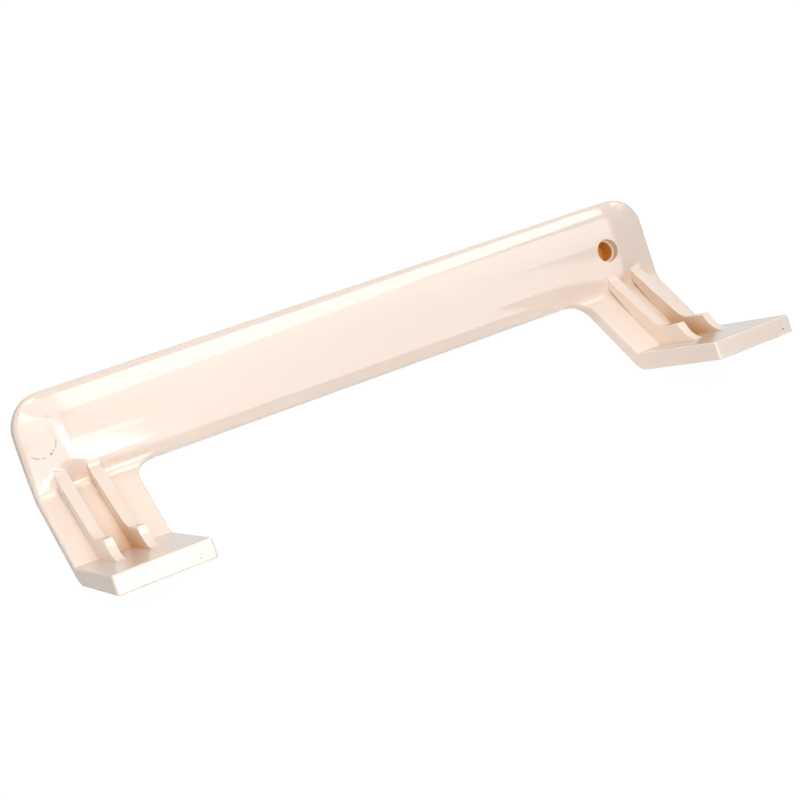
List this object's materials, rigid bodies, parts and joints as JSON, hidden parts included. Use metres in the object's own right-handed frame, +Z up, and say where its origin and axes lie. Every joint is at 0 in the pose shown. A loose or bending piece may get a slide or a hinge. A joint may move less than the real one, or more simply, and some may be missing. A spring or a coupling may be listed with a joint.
{
  "type": "refrigerator door handle",
  "caption": "Moulded plastic pull handle: crowned oval grip band, a leg and flat foot at each end, ribs with small horns on the legs, and a stepped blind hole in the grip near one end.",
  "frame": {"origin": "centre of the bounding box in X and Y, on the floor plane in Z", "axes": "+X along the grip, towards the end with the stepped hole; +Y from the feet towards the grip; +Z up. The handle lies on the flat outer faces of its two legs, and the grip and the feet both rise from the floor at 45 degrees"},
  "size_m": [0.2, 0.0776, 0.0311],
  "materials": {
    "ivory_plastic": "glossy ivory, moulded"
  },
  "bodies": {
    "root": {"handle": "ivory_plastic"}
  },
  "joints": []
}
